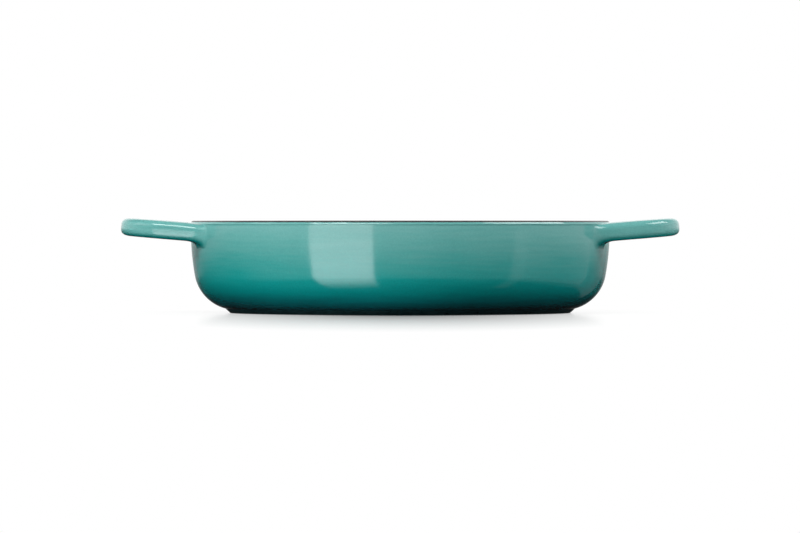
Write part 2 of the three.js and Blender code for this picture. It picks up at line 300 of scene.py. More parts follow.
# The wander grows from nothing to full over the last eighth of the rows, below the edge.
edge_share = np.clip(np.linspace(1 - EDGE_PART, 1, rows), 0, 1)[:, None]
wall_front[..., 2] += EDGE_WANDER * edge_share * ripple(rows, EDGE_WAVES, EDGE_SEED)[-1]
wall_back = turned(outside(ENAMEL, COAT_EDGE))[::-1]
wall_grid = np.concatenate((wall_front, wall_back))
wall_piece = add_piece("outer_wall", wall_grid, None, "teal_enamel", "exterior_enamel")

# %% [markdown]
# ## The cooking surface
#
# Inside, a black coat runs from the rim down the wall, round a wide corner and over the floor. A
# Solidify modifier could give a single sheet its thickness. Two turned faces are as short, and they
# stay at the same arc centres as the iron. They end in poles on the pan's axis, where the last small
# ring of points is closed by a fan of triangles.

# %% Inside
POLE_RING = 0.004
INNER_WALL_STEPS = 30
INNER_CORNER_STEPS = 40
FLOOR_STEPS = 24


def inside(inset, top):
    """Rim's round from a height, then the wall's arc, the inner corner, and the floor in to the axis."""
    first = math.pi - math.asin(min(1, (top - inner_rim[1]) / (RIM_ROUND - inset)))
    start = angle_to(wall_centre, inner_rim)
    end = angle_to(wall_centre, inner_corner)
    rim = arc(inner_rim, RIM_ROUND - inset, first, math.pi + start, ROUND_STEPS)
    wall = arc(wall_centre, inner_wall_radius + inset, start, end, INNER_WALL_STEPS)
    corner = arc(inner_corner, INNER_CORNER_RADIUS + inset, end, -math.pi / 2, INNER_CORNER_STEPS)
    level = np.linspace(inner_corner[0], POLE_RING, FLOOR_STEPS)
    floor = np.stack((level, np.full(FLOOR_STEPS, FLOOR_TOP - inset)), axis=-1)
    return np.concatenate((rim, wall[1:], corner[1:], floor[1:]))


cooking_face = inside(0, COAT_EDGE)
cooking_back = inside(ENAMEL, COAT_EDGE)[::-1]
cooking_poles = np.array(((0, 0, FLOOR_TOP - ENAMEL), (0, 0, FLOOR_TOP)))
cooking_grid = np.concatenate((turned(cooking_back), turned(cooking_face)))
cooking_piece = add_piece(
    "cooking_surface", cooking_grid, cooking_poles, "satin_black_enamel", "interior_enamel"
)

# %% [markdown]
# ## The rim
#
# Between the teal and the black the ground coat shows as a thin dark line. It could be a third colour
# on one of its neighbours. It is a piece of its own here, because it is a coat of its own on the pan: a
# ring that reaches a little way under the edges of both.

# %% Rim line
RIM_TUCK = 0.0006
RIM_INSET = 0.00006
RIM_STEPS = 12


def over_rim(inset, edge):
    """The rim's outer round, its narrow top and its inner round, between two points at one height."""
    stop = math.asin((edge - outer_rim[1]) / (RIM_ROUND - inset))
    outer = arc(outer_rim, RIM_ROUND - inset, stop, math.pi / 2, RIM_STEPS)
    inner = arc(inner_rim, RIM_ROUND - inset, math.pi / 2, math.pi - stop, RIM_STEPS)
    return np.concatenate((outer, inner))


rim_low = COAT_EDGE - RIM_TUCK
rim_grid = turned(np.concatenate((over_rim(RIM_INSET, rim_low), over_rim(ENAMEL, rim_low)[::-1])))
rim_piece = add_piece("rim_line", rim_grid, None, "dark_rim_enamel", "rim_enamel")

# %% [markdown]
# ## The foot
#
# Only a ring touches the hob. It is ground flat after casting and then coated, and it is the first
# place to lose its shine. A Bevel modifier could soften its edges. The round is in the profile instead,
# since the profile is turned anyway: enamel draws back from a sharp edge, so the ring rolls over into
# the flared side, and inside it a gentle slope leads up to a shallow recess.

# %% Base
RING_WIDTH = 0.010
RECESS = 0.0008
RECESS_SLOPE = 0.003
FOOT_ROUND = 0.0009
RING_STEPS = 12
SIDE_STEPS = 8


def underside(inset):
    """Recess floor, slope of 3s^2 - 2s^3, ring and flared side, with a round between the last two."""
    ring_inner = FOOT_RADIUS - RING_WIDTH
    level = np.linspace(POLE_RING, ring_inner - RECESS_SLOPE, FLOOR_STEPS)
    recess = np.stack((level, np.full(FLOOR_STEPS, RECESS + inset)), axis=-1)
    share = np.linspace(0, 1, RING_STEPS)
    ease = share * share * (3 - 2 * share)
    slope = np.stack((ring_inner - RECESS_SLOPE * (1 - share), RECESS * (1 - ease) + inset), axis=-1)
    roll = math.pi / 2 - FOOT_FLARE
    centre = FOOT_RADIUS - FOOT_ROUND * math.tan(roll / 2), FOOT_ROUND
    ring_out = np.linspace(ring_inner, centre[0], RING_STEPS)
    ring = np.stack((ring_out, np.full(RING_STEPS, inset)), axis=-1)
    edge = arc(centre, FOOT_ROUND - inset, -math.pi / 2, -math.pi / 2 + roll, SIDE_STEPS)
    tip = np.array(foot_top) + inset * np.array((-math.cos(FOOT_FLARE), math.sin(FOOT_FLARE)))
    side = np.linspace(edge[-1], tip, SIDE_STEPS)
    return np.concatenate((recess, slope[1:], ring[1:], edge[1:], side[1:]))


base_grid = np.concatenate((turned(underside(0)), turned(underside(ENAMEL)[::-1])))
base_poles = np.array(((0, 0, RECESS), (0, 0, RECESS + ENAMEL)))
base_piece = add_piece("base_coat", base_grid, base_poles, "dark_base_enamel", "base_enamel")

# %% [markdown]
# ## The bar of the loop handles
#
# A bar of rounded oblong section runs out of the wall, round a bend, along the grip and back. Its
# middle line lies in a plane that leans up by about four degrees. A curve object with a bevel shape
# would bend such a bar, but its section couldn't widen towards the grip as this one does. So each ring
# of the bar is a superellipse, a shape between an ellipse and an oblong, of its own width and depth.

# %% Handle sections
DROP = 0.008
RISE = math.radians(4.6)
LEG_SIZE = 0.0150, 0.0129
GRIP_SIZE = 0.0180, 0.0128
SQUARENESS = 3.2
BAR_SIDES = 72
bar_angle = np.linspace(0, 2 * math.pi, BAR_SIDES, endpoint=False)


def smoothstep(value):
    """0 below 0, 1 above 1, and 3v^2 - 2v^3 between them."""
    v = np.clip(value, 0, 1)
    return v * v * (3 - 2 * v)


def lifted(out, side, up):
    """A point of the leaning plane: out from the axis, to the side, and up square to the plane."""
    x = RIM_RADIUS + (out - RIM_RADIUS) * math.cos(RISE) - up * math.sin(RISE)
    z = HEIGHT - DROP + (out - RIM_RADIUS) * math.sin(RISE) + up * math.cos(RISE)
    return np.stack(np.broadcast_arrays(x, side, z), axis=-1)


def bulged(value):
    """The value's size to the power of 2 over the squareness, with the value's own sign."""
    return np.sign(value) * np.abs(value) ** (2 / SQUARENESS)


def bar_section(width, depth):
    """A superellipse: half the width times the bulged cosine, half the depth times the bulged sine."""
    return width / 2 * bulged(np.cos(bar_angle)), depth / 2 * bulged(np.sin(bar_angle))


def bar_rings(centre_out, centre_side, facing, share):
    """Rings of the bar round places on its middle line, each turned to face out of the loop."""
    share = smoothstep(share)[:, None]
    width = LEG_SIZE[0] + (GRIP_SIZE[0] - LEG_SIZE[0]) * share
    depth = LEG_SIZE[1] + (GRIP_SIZE[1] - LEG_SIZE[1]) * share
    outwards, upwards = bar_section(width, depth)
    facing = facing[:, None]
    out = centre_out[:, None] + outwards * np.cos(facing)
    side = centre_side[:, None] + outwards * np.sin(facing)
    return lifted(out, side, upwards)


for part, size in (("leg", LEG_SIZE), ("grip", GRIP_SIZE)):
    print("the bar's", part, "is", [round(v / MM, 1) for v in size], "mm wide and deep")

# %% [markdown]
# ## The root of a handle
#
# The root takes the most skill, because a straight bar meets a wall that is curved in plan and bowed in
# height. A Boolean union with a bevel would leave ragged faces there. Instead, on each line along the
# bar, the spot where it leaves the wall is found by halving: the half-way point is tried, and the half
# that holds the spot is kept. From there a Bezier curve bends from the wall's tangent into the bar, so
# that the two meet like poured metal. Nothing spreads upwards, because the top of the bar runs flat
# into the wall just under the rim.

# %% Where the bar leaves the wall
TAPER = math.radians(12)
HALVINGS = 50
leg_run = np.array((math.cos(TAPER), -math.sin(TAPER)))
leg_outward = np.array((math.sin(TAPER), math.cos(TAPER)))
flat_start = lifted(0.0, 0.0, 0.0)
leg_axis = lifted(leg_run[0], leg_run[1], 0.0) - flat_start


def wall_radius(height):
    """The wall's outer radius at a height, from the circle that it bows along."""
    return wall_centre[0] + np.sqrt(WALL_BOW_RADIUS**2 - (height - wall_centre[1]) ** 2)


def leaves_wall(start):
    """The spot on each line along the leg where it comes out of the wall, found by halving."""
    buried = np.full(len(start), -RIM_RADIUS / 2)
    clear = np.full(len(start), RIM_RADIUS / 2)
    for _ in range(HALVINGS):
        middle = (buried + clear) / 2
        place = start + middle[:, None] * leg_axis
        within = np.hypot(place[:, 0], place[:, 1]) < wall_radius(place[:, 2])
        buried = np.where(within, middle, buried)
        clear = np.where(within, clear, middle)
    return start + buried[:, None] * leg_axis


def wall_normal(place):
    """The unit vector from the nearest point of the ring of arc centres to the place."""
    radius = np.hypot(place[:, 0], place[:, 1])
    share = (radius - wall_centre[0]) / radius
    normal = np.stack((place[:, 0] * share, place[:, 1] * share, place[:, 2] - wall_centre[1]), axis=-1)
    return normal / np.linalg.norm(normal, axis=1, keepdims=True)


def sunk(place, depth):
    """The place drawn towards the axis until it lies at least so deep under the wall."""
    radius = np.hypot(place[:, 0], place[:, 1])
    shrink = np.minimum(1, (wall_radius(place[:, 2]) - depth) / radius)
    return place * np.stack((shrink, shrink, np.ones_like(shrink)), axis=-1)


print("a leg runs along", np.round(leg_axis, 3).tolist())

# %% Handle root
LEG_SPACING = 0.0455
ROOT_SPREAD = 0.010
ROOT_DROP = 0.0045
ROOT_TAIL = 0.002
ROOT_REACH = 0.020
ROOT_LOWER_REACH = 0.012
ROOT_TOP_SHARE = 0.5
ROOT_DEPTH = 0.0008
LANDING_DEPTH = 0.00002
ROOT_STEPS = 14


def root_rings(count):
    """Quadratic Bezier curves from the wall, by the corner between wall and bar, to the plain bar:
    (1 - t)^2 times the first, 2t(1 - t) times the second and t^2 times the third."""
    outwards, upwards = bar_section(*LEG_SIZE)
    start = lifted(
        RIM_RADIUS + leg_outward[0] * outwards, LEG_SPACING + leg_outward[1] * outwards, upwards
    )
    corner = leaves_wall(start)
    sideways = np.cos(bar_angle)
    below = np.maximum(0, -np.sin(bar_angle))
    share = smoothstep(np.hypot(sideways, below) / ROOT_TOP_SHARE)[:, None]
    aside = ROOT_SPREAD * sideways
    drop = (ROOT_DROP + ROOT_TAIL * 2 * np.abs(sideways)) * below
    spread = lifted(leg_outward[0] * aside, leg_outward[1] * aside, -drop) - flat_start
    normal = wall_normal(corner)
    spread = spread - normal * np.sum(spread * normal, axis=1, keepdims=True)
    reach = (ROOT_LOWER_REACH + (ROOT_REACH - ROOT_LOWER_REACH) * sideways**2)[:, None]
    on_bar = corner + leg_axis * (ROOT_DEPTH + (reach - ROOT_DEPTH) * share)
    on_wall = sunk(corner + spread * share - leg_axis * ROOT_DEPTH * (1 - share), LANDING_DEPTH)
    t = np.linspace(0, 1, count)[:, None, None]
    return (1 - t) ** 2 * on_wall + 2 * t * (1 - t) * corner + t**2 * on_bar


root = root_rings(ROOT_STEPS)
root_size = root[0].max(axis=0) - root[0].min(axis=0)
print("a root covers", np.round(root_size[1:] / MM, 1).tolist(), "mm of the wall, across and up")

# %% [markdown]
# ## Both handles
#
# One half of a handle is root, leg, bend and half of the grip. The grip follows a circle round the pan,
# and the bend touches both the grip and the leg. Blender's Mirror modifier could make the other half
# and the other handle. But a handle is one closed tube, so it is simpler to let its rings go on past
# the middle: the mirrored rings run backwards, which keeps the faces outwards. The left handle is the
# right one after half a turn round the pan's axis.

# %% Bend and grip
REACH = 0.050
BEND_RADIUS = 0.0295
BEND_STEPS = 40
GRIP_STEPS = 10
grip_radius = RIM_RADIUS + REACH - GRIP_SIZE[0] / 2

# The bend's centre lies one bend radius inside the leg and one inside the grip's circle.
inner_start = np.array((RIM_RADIUS, LEG_SPACING)) - leg_outward * BEND_RADIUS
step_along = float(inner_start @ leg_run)
from_axis = float(inner_start @ inner_start)
bend_reach = math.sqrt(step_along**2 - from_axis + (grip_radius - BEND_RADIUS) ** 2)
bend_centre = inner_start + leg_run * (bend_reach - step_along)
leg_facing = math.atan2(leg_outward[1], leg_outward[0])
grip_facing = math.atan2(bend_centre[1], bend_centre[0])

facing = np.linspace(leg_facing, grip_facing, BEND_STEPS)
bend_out = bend_centre[0] + BEND_RADIUS * np.cos(facing)
bend_side = bend_centre[1] + BEND_RADIUS * np.sin(facing)
bend = bar_rings(bend_out, bend_side, facing, np.linspace(0, 1, BEND_STEPS))
grip_angle = np.linspace(grip_facing, 0, GRIP_STEPS)
grip_out = grip_radius * np.cos(grip_angle)
grip_side = grip_radius * np.sin(grip_angle)
grip = bar_rings(grip_out, grip_side, grip_angle, np.ones(GRIP_STEPS))
print("the bend turns by", round(math.degrees(leg_facing - grip_facing), 1), "degrees")

# %% Both handles
LEG_STEPS = 10
leg = np.linspace(root[-1], bend[0], LEG_STEPS)
buried = sunk(root[0], ENAMEL)[None]
half = np.concatenate((buried, root, leg[1:], bend[1:], grip[1:]))
mirror = np.array((1, -1, 1))
right_grid = np.concatenate((half, half[-2::-1] * mirror))
right_poles = np.stack((right_grid[0].mean(axis=0), right_grid[-1].mean(axis=0)))
right_handle = add_piece("right_handle", right_grid, right_poles, "teal_enamel", "exterior_enamel")

half_turn = np.array((-1, -1, 1))
left_grid = right_grid * half_turn
left_poles = right_poles * half_turn
left_handle = add_piece("left_handle", left_grid, left_poles, "teal_enamel", "exterior_enamel")

# %% [markdown]
# ## Materials
#
# Enamel is coloured glass fused to iron. Its colour comes from under a clear, hard surface, so the
# shader needs a plain base colour and a sharp, weak reflection. An image could carry the patterns, but
# noise needs no file and no unwrapping. Colours are written as on a paint chart and turned into linear
# light by one function. Patterns read object coordinates in metres, so a noise's scale is one over the
# size of its cells.

# %% Material tools
NOISE_RANGE = {"From Min": 0.3, "From Max": 0.7}  # Most values of a noise lie between these.
FACTOR, COLOUR_A, COLOUR_B, MIXED_COLOUR = 0, 6, 7, 2  # Sockets of a Mix node that mixes colours.
VALUE_A, VALUE_B, MIXED_VALUE = 2, 3, 0  # Sockets of a Mix node that mixes plain values.


def linear(code):
    """sRGB hex to linear light: v/12.92 below 0.04045, else ((v + 0.055) / 1.055) to the power 2.4."""
    values = [int(code[i : i + 2], 16) / 255 for i in (1, 3, 5)]
    return [v / 12.92 if v <= 0.04045 else ((v + 0.055) / 1.055) ** 2.4 for v in values] + [1.0]


def add_node(tree, kind, inputs=None, stops=(), **settings):
    """One shader node. Settings are its own fields, inputs are values or other nodes' sockets, and
    stops are the places of a colour ramp, each with its linear colour."""
    node = tree.nodes.new("ShaderNode" + kind)
    for key, value in settings.items():
        setattr(node, key, value)
    for key, value in (inputs or {}).items():
        if isinstance(value, bpy.types.NodeSocket):
            tree.links.new(value, node.inputs[key])
        else:
            node.inputs[key].default_value = value
    for stop, _ in stops[1:-1]:
        node.color_ramp.elements.new(stop)
    for number, (stop, colour) in enumerate(stops):
        node.color_ramp.elements[number].position = stop
        node.color_ramp.elements[number].color = colour
    return node


def new_material(name):
    """An empty node material, with its tree, its surface shader and its object coordinates."""
    material = bpy.data.materials.new(name)
    material.use_nodes = True
    tree = material.node_tree
    shader = tree.nodes["Principled BSDF"]
    place = add_node(tree, "TexCoord").outputs["Object"]
    return material, tree, shader, place


print("a middle teal in linear light is", [round(v, 3) for v in linear("#2f9d98")[:3]])

# %% [markdown]
# ### Gloss enamel, sprayed in two tones, with painted shade
#
# The wall is pale at the rim and deepens to near black green at the foot: a second, darker colour is
# sprayed from below before firing, and towards the foot the tones also hold painted shade. It could be
# painted by hand on the vertices. A colour ramp over the height is chosen, because the spray gun works
# in level passes too. What faces down on the handles gets painted shade: it is coloured as if it were
# lower than it is. A noise that is stretched round the pan stands for the passes of the gun.

# %% Teal enamel: tones
# Glass with colour in it gives the eye a deep, even colour that doesn't change with the angle.
# Darker towards the foot: partly the darker spray, partly painted shade.
TONES = (
    (0.0, "#052529"),
    (0.06, "#034249"),
    (0.14, "#016e72"),
    (0.24, "#018d8b"),
    (0.36, "#129793"),
    (0.50, "#2f9d98"),
    (0.70, "#52a5a0"),
    (1.0, "#6bb0ab"),
)
PASS_LENGTH = 33.3 * MM
PASS_HEIGHT = 2.775 * MM
PASS_DRIFT = 0.07
# Faces that look down on the handles get painted shade: they take the colour of a place up to 45 mm
# lower.
SHADE_BEGINS, SHADE_FULL = -0.3, -1.0  # How far a face looks down, from level (0) to straight down (-1).
SHADE_DROP = 0.045
HANDLE_BEGINS, HANDLE_FULL = 0.038, 0.046

teal, tree, shader, place = new_material("gloss teal enamel, sprayed and fired, with painted shade")
stretch = 1.0, 1.0, PASS_LENGTH / PASS_HEIGHT
level = add_node(tree, "VectorMath", {0: place, 1: stretch}, operation="MULTIPLY").outputs["Vector"]
passes = add_node(tree, "TexNoise", {"Vector": level, "Scale": 1 / PASS_LENGTH, "Detail": 3.0})
drift = add_node(
    tree,
    "MapRange",
    {**NOISE_RANGE, "Value": passes.outputs["Fac"], "To Min": 1 - PASS_DRIFT, "To Max": 1 + PASS_DRIFT},
).outputs["Result"]
height = add_node(tree, "SeparateXYZ", {"Vector": place}).outputs["Z"]
normal = add_node(tree, "TexCoord").outputs["Normal"]
facing_up = add_node(tree, "SeparateXYZ", {"Vector": normal}).outputs["Z"]
under = add_node(
    tree,
    "MapRange",
    {"Value": facing_up, "From Min": SHADE_BEGINS, "From Max": SHADE_FULL, "To Max": SHADE_DROP},
).outputs["Result"]
on_handle = add_node(
    tree, "MapRange", {"Value": height, "From Min": HANDLE_BEGINS, "From Max": HANDLE_FULL}
).outputs["Result"]
# Painted shade under the handles: the height that picks the tone drops where a face looks down.
sprayed = add_node(tree, "Math", {0: under, 1: on_handle}, operation="MULTIPLY").outputs["Value"]
shaded_height = add_node(tree, "Math", {0: height, 1: sprayed}, operation="SUBTRACT").outputs["Value"]
drifted = add_node(tree, "Math", {0: shaded_height, 1: drift}, operation="MULTIPLY").outputs["Value"]
share = add_node(tree, "MapRange", {"Value": drifted, "From Max": HEIGHT}).outputs["Result"]
tone = add_node(tree, "ValToRGB", {"Fac": share}, [(stop, linear(code)) for stop, code in TONES])
print(teal.name, "runs through", len(TONES), "tones")

# %% [markdown]
# ### The skin of the glaze
#
# Spray lands as droplets, which mottle the colour and the shine a little, and the melted glass keeps
# the faint, broad waves that are called orange peel. Displacement would need a far finer mesh for
# these. A bump is enough, since neither changes the outline.

# %% Teal enamel: skin
# A hard, clear skin gives the eye sharp and rather weak mirror pictures of the lamps.
# Real droplets are about 0.1 mm across. A pixel covers 0.7 mm, so they are drawn as coarse as shows.
DROPLET = 1.11 * MM
MOTTLE = 0.07
PEEL = 6.25 * MM
PEEL_DEPTH = 0.3 * MM
PEEL_STRENGTH = 0.012
GLOSS = 0.085, 0.125
GLASS_IOR = 1.52
droplets = add_node(
    tree, "TexNoise", {"Vector": place, "Scale": 1 / DROPLET, "Detail": 4.0, "Roughness": 0.6}
).outputs["Fac"]
speck = add_node(
    tree, "MapRange", {**NOISE_RANGE, "Value": droplets, "To Min": 1 - MOTTLE, "To Max": 1 + MOTTLE}
).outputs["Result"]
mottled = add_node(
    tree,
    "Mix",
    {FACTOR: 1.0, COLOUR_A: tone.outputs["Color"], COLOUR_B: speck},
    data_type="RGBA",
    blend_type="MULTIPLY",
)
tree.links.new(mottled.outputs[MIXED_COLOUR], shader.inputs["Base Color"])
peel = add_node(tree, "TexNoise", {"Vector": place, "Scale": 1 / PEEL, "Detail": 2.0}).outputs["Fac"]
relief = add_node(tree, "Bump", {"Height": peel, "Strength": PEEL_STRENGTH, "Distance": PEEL_DEPTH})
tree.links.new(relief.outputs["Normal"], shader.inputs["Normal"])
gloss = add_node(
    tree, "MapRange", {**NOISE_RANGE, "Value": droplets, "To Min": GLOSS[0], "To Max": GLOSS[1]}
)
tree.links.new(gloss.outputs["Result"], shader.inputs["Roughness"])
shader.inputs["IOR"].default_value = GLASS_IOR
print(teal.name, "has", len(tree.nodes), "nodes")

# %% [markdown]
# ### Satin black enamel
#
# The cooking surface is a matt enamel with a fine grain that holds a film of oil. A plain dark colour
# with a high roughness would look like rubber. One noise drives colour, relief and roughness together,
# so that every grain is a little paler, higher and duller than the hollow beside it.

# %% Satin black enamel
# A grainy glass gives the eye a wide, soft sheen and no mirror picture.
# Real grains are under 0.1 mm. They are drawn 0.7 mm across, which is one pixel.
GRAIN = 0.714 * MM
GRAIN_DEPTH = 0.2 * MM
GRAIN_STRENGTH = 0.25
BLACKS = (0.0, "#141516"), (1.0, "#2c2d2e")
BLACK_HAZE = 0.38, 0.46
black, tree, shader, place = new_material("satin black enamel, sprayed and fired")
grain = add_node(tree, "TexNoise", {"Vector": place, "Scale": 1 / GRAIN, "Detail": 3.0}).outputs["Fac"]
tint = add_node(tree, "ValToRGB", {"Fac": grain}, [(stop, linear(code)) for stop, code in BLACKS])
tree.links.new(tint.outputs["Color"], shader.inputs["Base Color"])
relief = add_node(tree, "Bump", {"Height": grain, "Strength": GRAIN_STRENGTH, "Distance": GRAIN_DEPTH})
tree.links.new(relief.outputs["Normal"], shader.inputs["Normal"])
haze = add_node(
    tree, "MapRange", {**NOISE_RANGE, "Value": grain, "To Min": BLACK_HAZE[0], "To Max": BLACK_HAZE[1]}
)
tree.links.new(haze.outputs["Result"], shader.inputs["Roughness"])
print(black.name, "has", len(tree.nodes), "nodes")

# %% [markdown]
# ### Dark ground enamel
#
# The rim shows the ground coat, which is brushed over the bare edge by hand. It is dark green grey and
# turns browner where the brush left it thin. Painted strokes could show every mark of the brush. But
# the line is only a pixel or two high in the picture, so a few broad patches of noise are enough.

# %% Dark ground enamel
# A thin, brushed glass gives the eye a semi-matt line with soft changes of tone.
BRUSH_MARK = 4.55 * MM
BRUSH_DEPTH = 0.2 * MM
BRUSH_STRENGTH = 0.15
RIM_DARKS = (0.35, "#2c3536"), (0.75, "#4c4c49")
RIM_HAZE = 0.33, 0.43
rim_dark, tree, shader, place = new_material("dark ground enamel, brushed at the rim")
thin = add_node(
    tree, "TexNoise", {"Vector": place, "Scale": 1 / BRUSH_MARK, "Detail": 4.0}
).outputs["Fac"]
tint = add_node(tree, "ValToRGB", {"Fac": thin}, [(stop, linear(code)) for stop, code in RIM_DARKS])
tree.links.new(tint.outputs["Color"], shader.inputs["Base Color"])
relief = add_node(tree, "Bump", {"Height": thin, "Strength": BRUSH_STRENGTH, "Distance": BRUSH_DEPTH})
tree.links.new(relief.outputs["Normal"], shader.inputs["Normal"])
haze = add_node(
    tree, "MapRange", {**NOISE_RANGE, "Value": thin, "To Min": RIM_HAZE[0], "To Max": RIM_HAZE[1]}
)
tree.links.new(haze.outputs["Result"], shader.inputs["Roughness"])
print(rim_dark.name, "has", len(tree.nodes), "nodes")

# %% [markdown]
# ### Dark base enamel
#
# The base is the darkest green of the spray. Its ring slides over hobs and shelves and loses its shine.
# The wear could be a painted mask. Since only the lowest third of a millimetre touches anything, a mask
# made from the height finds the same places by itself.

# %% Dark base enamel
# A rubbed glass gives the eye a dark, patchy shine, paler and dull where it touches.
RUB_MARK = 3.33 * MM
BASE_DARKS = (0.4, "#12363a"), (0.8, "#26474b")
BASE_SHINE = 0.25, 0.5
TOUCH_ENDS, TOUCH_FULL = 0.3 * MM, 0.1 * MM
TOUCH_SHARE = 0.7
WORN_ROUGHNESS = 0.65
base_dark, tree, shader, place = new_material("dark base enamel, rubbed at the foot")
rub = add_node(tree, "TexNoise", {"Vector": place, "Scale": 1 / RUB_MARK, "Detail": 5.0}).outputs["Fac"]
tint = add_node(tree, "ValToRGB", {"Fac": rub}, [(stop, linear(code)) for stop, code in BASE_DARKS])
shine = add_node(
    tree, "MapRange", {**NOISE_RANGE, "Value": rub, "To Min": BASE_SHINE[0], "To Max": BASE_SHINE[1]}
)
height = add_node(tree, "SeparateXYZ", {"Vector": place}).outputs["Z"]
touch = add_node(
    tree,
    "MapRange",
    {"Value": height, "From Min": TOUCH_ENDS, "From Max": TOUCH_FULL, "To Max": TOUCH_SHARE},
).outputs["Result"]
worn = add_node(
    tree,
    "Mix",
    {FACTOR: touch, COLOUR_A: tint.outputs["Color"], COLOUR_B: linear("#4a6264")},
    data_type="RGBA",
)
tree.links.new(worn.outputs[MIXED_COLOUR], shader.inputs["Base Color"])
dull = add_node(
    tree, "Mix", {FACTOR: touch, VALUE_A: shine.outputs["Result"], VALUE_B: WORN_ROUGHNESS}
)
tree.links.new(dull.outputs[MIXED_VALUE], shader.inputs["Roughness"])
print(base_dark.name, "has", len(tree.nodes), "nodes")

# %% [markdown]
# ### Cast iron
#
# The casting lies under the coats and keeps the solid of the frame. Shot-blasting leaves it an even
# grey, full of tiny dents that the enamel grips. Dents could be sculpted, but they would be wasted
# under the coats, so one noise makes tone, dents and haze.

# %% Cast iron
# A blasted metal gives the eye a dark, dull, sparkling grey.
# Real dents are about 0.3 mm. They are drawn 1.4 mm across, which is two pixels.
DENT = 1.43 * MM
DENT_DEPTH = 0.3 * MM
DENT_STRENGTH = 0.3
GREYS = (0.0, "#3a3b3c"), (1.0, "#6a6b6c")
IRON_HAZE = 0.55, 0.75
iron, tree, shader, place = new_material("grey cast iron, shot-blasted")
sand = add_node(tree, "TexNoise", {"Vector": place, "Scale": 1 / DENT, "Detail": 5.0}).outputs["Fac"]
tint = add_node(tree, "ValToRGB", {"Fac": sand}, [(stop, linear(code)) for stop, code in GREYS])
tree.links.new(tint.outputs["Color"], shader.inputs["Base Color"])
relief = add_node(tree, "Bump", {"Height": sand, "Strength": DENT_STRENGTH, "Distance": DENT_DEPTH})
tree.links.new(relief.outputs["Normal"], shader.inputs["Normal"])
haze = add_node(
    tree, "MapRange", {**NOISE_RANGE, "Value": sand, "To Min": IRON_HAZE[0], "To Max": IRON_HAZE[1]}
)
tree.links.new(haze.outputs["Result"], shader.inputs["Roughness"])
shader.inputs["Metallic"].default_value = 1.0
print(iron.name, "has", len(tree.nodes), "nodes")

# %% [markdown]
# ### Painting
#
# On the real pan the teal runs from the wall over both handles without a break. One mesh with several
# material slots could hold all coats. With a piece for each coat, every piece needs only one material,
# and because patterns follow object coordinates, the teal doesn't jump where wall and handle meet.

# %% Paint the pieces
for piece in (wall_piece, right_handle, left_handle):
    piece.data.materials.append(teal)
cooking_piece.data.materials.append(black)
rim_piece.data.materials.append(rim_dark)
base_piece.data.materials.append(base_dark)
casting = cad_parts["iron_casting"]
casting.data.materials.clear()
casting.data.materials.append(iron)

# %% [markdown]
# ## The camera
#
# The pan was photographed almost level with its rim and from far away, so the rim is nearly a straight
# line. An orthographic camera would come close, but it has no perspective at all. A long lens at five
# metres keeps the little that there is. The picture's width at the pan is known, so the lens is the
# sensor's width times the distance, over the width of the picture.

# %% Camera
CAMERA_DISTANCE = 5.0
CAMERA_ASIDE = -0.00015
EYE_HEIGHT = 0.0723
AIM_HEIGHT = 0.0332
FRAME_WIDTH = 0.5732
scene = bpy.context.scene
scene.view_settings.view_transform = "Standard"
camera_data = bpy.data.cameras.new("camera")
camera_data.sensor_width = 36.0
camera_data.lens = camera_data.sensor_width * CAMERA_DISTANCE / FRAME_WIDTH
camera_data.clip_end = 200.0
camera = bpy.data.objects.new("camera", camera_data)
scene.collection.objects.link(camera)
scene.camera = camera
camera.location = (CAMERA_ASIDE, -CAMERA_DISTANCE, EYE_HEIGHT)
look_down = math.atan2(EYE_HEIGHT - AIM_HEIGHT, CAMERA_DISTANCE)
camera.rotation_euler = (math.pi / 2 - look_down, 0, 0)
print("the lens is", round(camera_data.lens), "mm and looks down by", round(math.degrees(look_down), 2))

# %% [markdown]
# ## The table
#
# The pan stands on a white sheet that melts into a white background. A shadow catcher could leave only
# the shadow, but its picture has to be laid over a background afterwards. Here the camera sees the
# sheet near the pan, and outside an oval it sees plain white light. The sheet is hidden from mirror
# rays, because panels under it will stand for what it mirrors. All other rays meet a grey table that
# gives light back to the wall. Near the pan its grey is painted paler on the left and darker on the
# right: a painted pool of light, which gives back more on the left, where the lower wall is brighter.

# %% Table top
FLOOR_HALF = 40.0
FLOOR_DROP = 0.1 * MM
corners = (-1, -1), (1, -1), (1, 1), (-1, 1)
floor_points = [(FLOOR_HALF * x, FLOOR_HALF * y, -FLOOR_DROP) for x, y in corners]
floor_mesh = bpy.data.meshes.new("floor")
floor_mesh.from_pydata(floor_points, [], [(0, 1, 2, 3)])
floor = bpy.data.objects.new("floor", floor_mesh)
scene.collection.objects.link(floor)
floor.visible_glossy = False
floor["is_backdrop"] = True
print("the table top is", 2 * FLOOR_HALF, "m wide")

# %% Oval of the shadow
# A satin sheet gives the eye a soft shadow and no glare.
SHADOW_ASIDE, SHADOW_AHEAD, SHADOW_BEHIND = 7.2, 1.75, 3.0  # The oval is narrow where these are large.
SHADOW_BEGINS, SHADOW_ENDS = 0.2, 1.4
SHEET_ROUGHNESS = 0.12
white, tree, shader, place = new_material("white table top, satin")
shader.inputs["Roughness"].default_value = SHEET_ROUGHNESS
spot = add_node(tree, "SeparateXYZ", {"Vector": place}).outputs
ahead = add_node(tree, "Math", {0: spot["Y"], 1: -SHADOW_AHEAD}, operation="MULTIPLY").outputs["Value"]
behind = add_node(tree, "Math", {0: spot["Y"], 1: SHADOW_BEHIND}, operation="MULTIPLY").outputs["Value"]
depth = add_node(tree, "Math", {0: ahead, 1: behind}, operation="MAXIMUM").outputs["Value"]
aside = add_node(tree, "Math", {0: spot["X"], 1: SHADOW_ASIDE}, operation="MULTIPLY").outputs["Value"]
